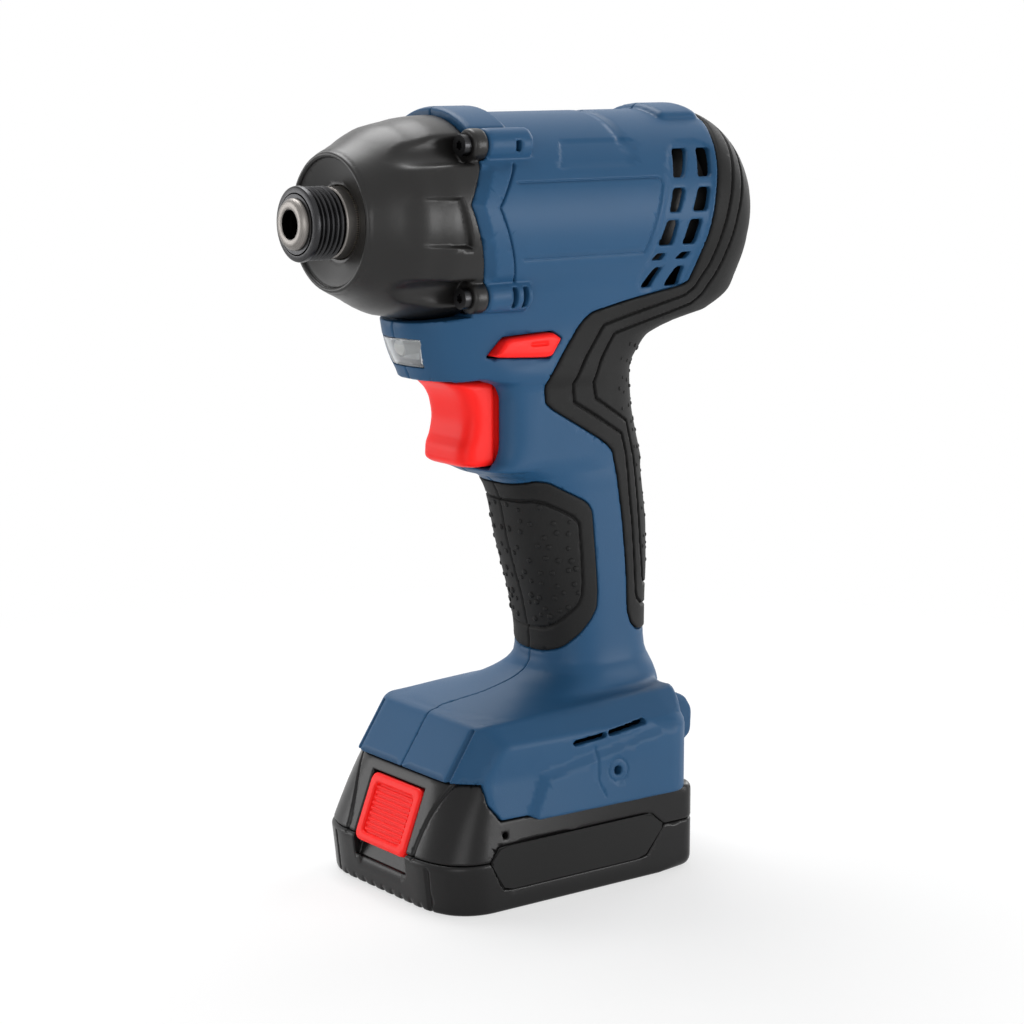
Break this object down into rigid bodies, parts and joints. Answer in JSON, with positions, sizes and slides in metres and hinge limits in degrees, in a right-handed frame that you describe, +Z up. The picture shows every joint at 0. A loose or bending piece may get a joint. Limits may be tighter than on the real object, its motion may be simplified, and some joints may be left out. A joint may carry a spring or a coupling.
{
  "type": "impact driver",
  "caption": "Cordless impact driver with a hex bit holder, pistol grip with rubber inlays and a slide-on battery pack that it stands on.",
  "frame": {"origin": "centre line of the tool on the battery's flat base, under the handle", "axes": "-X towards the bit holder, +Z up through the handle, +Y to the tool's right side"},
  "size_m": [0.1582, 0.074, 0.2364],
  "materials": {
    "blue_plastic": "fine-textured moulded plastic",
    "black_rubber": "soft matt rubber",
    "black_casting": "black coated die casting",
    "black_steel": "blackened steel",
    "steel": "ground steel",
    "bronze": "sintered bronze",
    "brass": "plated brass",
    "copper": "copper",
    "magnet": "ferrite",
    "carbon": "carbon",
    "black_plastic": "moulded plastic",
    "dark_plastic": "satin moulded plastic",
    "red_plastic": "satin moulded plastic",
    "clear_lens": "clear moulded plastic",
    "led": "clear moulded plastic",
    "wire_red": "wire cover",
    "wire_black": "wire cover",
    "cell_wrap": "wrapped steel can",
    "circuit_board": "coated board"
  },
  "bodies": {
    "housing": {"housing_left": "blue_plastic", "housing_right": "blue_plastic", "housing_screws": "steel", "rear_grip_left": "black_rubber", "rear_grip_right": "black_rubber", "front_grip_left": "black_rubber", "front_grip_right": "black_rubber", "hammer_case": "black_casting", "hammer_case_screws": "black_steel", "nose_bush": "bronze", "ring_gear": "steel", "gearbox_plate": "black_plastic", "spindle_bearing": "steel", "motor_can": "steel", "motor_magnets": "magnet", "front_bearing": "steel", "rear_bearing": "steel", "brush_holder": "black_plastic", "carbon_brushes": "carbon", "switch_body": "black_plastic", "work_light_lens": "clear_lens", "work_light_led": "led", "terminal_block": "black_plastic", "tool_terminals": "brass", "battery_leads": "wire_red", "motor_leads": "wire_black"},
    "trigger": {"trigger": "red_plastic"},
    "selector": {"direction_selector": "red_plastic"},
    "carrier": {"spindle": "steel", "planet_pins": "steel", "cam_balls": "steel", "hammer_spring": "steel"},
    "hammer": {"hammer": "steel"},
    "planet_1": {"planet_gear_1": "steel"},
    "planet_2": {"planet_gear_2": "steel"},
    "planet_3": {"planet_gear_3": "steel"},
    "rotor": {"pinion": "steel", "rotor_shaft": "steel", "rotor_core": "steel", "rotor_windings": "copper", "commutator": "copper", "fan": "black_plastic"},
    "anvil": {"anvil": "steel", "sleeve_washer": "steel", "retaining_ring": "steel", "sleeve_spring": "steel"},
    "sleeve": {"bit_sleeve": "black_steel"},
    "ball_left": {"lock_ball_left": "steel"},
    "ball_right": {"lock_ball_right": "steel"},
    "battery": {"battery_bottom_shell": "dark_plastic", "battery_top_shell": "dark_plastic", "battery_side_panels": "black_plastic", "battery_cells": "cell_wrap", "cell_straps": "steel", "battery_board": "circuit_board", "battery_terminals": "brass", "battery_screws": "steel", "button_spring": "steel"},
    "button": {"release_button": "red_plastic"}
  },
  "joints": [
    {"name": "spindle_spin", "type": "hinge", "parent": "housing", "child": "carrier", "pos_m": [0, 0, 0.204], "axis": [1, 0, 0], "continuous": true},
    {"name": "rotor_spin", "type": "hinge", "parent": "housing", "child": "rotor", "pos_m": [0.04, 0, 0.204], "axis": [1, 0, 0], "continuous": true},
    {"name": "anvil_spin", "type": "hinge", "parent": "housing", "child": "anvil", "pos_m": [-0.06, 0, 0.204], "axis": [1, 0, 0], "continuous": true},
    {"name": "hammer_slide", "type": "slide", "parent": "carrier", "child": "hammer", "axis": [1, 0, 0], "range_m": [0, 0.008], "stiffness_N_per_m": 4000, "springref_m": -0.004, "deforming": ["hammer_spring"]},
    {"name": "sleeve_slide", "type": "slide", "parent": "anvil", "child": "sleeve", "axis": [-1, 0, 0], "range_m": [0, 0.0035], "stiffness_N_per_m": 1500, "springref_m": -0.003, "deforming": ["sleeve_spring"]},
    {"name": "ball_left_slide", "type": "slide", "parent": "anvil", "child": "ball_left", "axis": [0, -1, 0], "range_m": [0, 0.0007]},
    {"name": "ball_right_slide", "type": "slide", "parent": "anvil", "child": "ball_right", "axis": [0, 1, 0], "range_m": [0, 0.0007]},
    {"name": "trigger_pull", "type": "slide", "parent": "housing", "child": "trigger", "axis": [1, 0, 0], "range_m": [0, 0.007], "stiffness_N_per_m": 800, "springref_m": -0.005},
    {"name": "selector_slide", "type": "slide", "parent": "housing", "child": "selector", "axis": [0, 1, 0], "range_m": [-0.0035, 0.0035]},
    {"name": "battery_slide", "type": "slide", "parent": "housing", "child": "battery", "axis": [-1, 0, 0], "range_m": [0, 0.08]},
    {"name": "button_press", "type": "slide", "parent": "battery", "child": "button", "axis": [-0.3584, 0, -0.9336], "range_m": [0, 0.004], "stiffness_N_per_m": 900, "springref_m": -0.003, "deforming": ["button_spring"]},
    {"name": "planet_1_spin", "type": "hinge", "parent": "carrier", "child": "planet_1", "pos_m": [-0.0074, 0, 0.1905], "axis": [1, 0, 0], "continuous": true},
    {"name": "planet_2_spin", "type": "hinge", "parent": "carrier", "child": "planet_2", "pos_m": [-0.0074, -0.01169, 0.21075], "axis": [1, 0, 0], "continuous": true},
    {"name": "planet_3_spin", "type": "hinge", "parent": "carrier", "child": "planet_3", "pos_m": [-0.0074, 0.01169, 0.21075], "axis": [1, 0, 0], "continuous": true}
  ],
  "couplings": [
    {"joint": "rotor_spin", "follows": "spindle_spin", "ratio": 5},
    {"joint": "anvil_spin", "follows": "spindle_spin", "ratio": 1},
    {"joint": "ball_left_slide", "follows": "sleeve_slide", "ratio": 0.2},
    {"joint": "ball_right_slide", "follows": "sleeve_slide", "ratio": 0.2},
    {"joint": "planet_1_spin", "follows": "spindle_spin", "ratio": -2.6667},
    {"joint": "planet_2_spin", "follows": "spindle_spin", "ratio": -2.6667},
    {"joint": "planet_3_spin", "follows": "spindle_spin", "ratio": -2.6667}
  ]
}
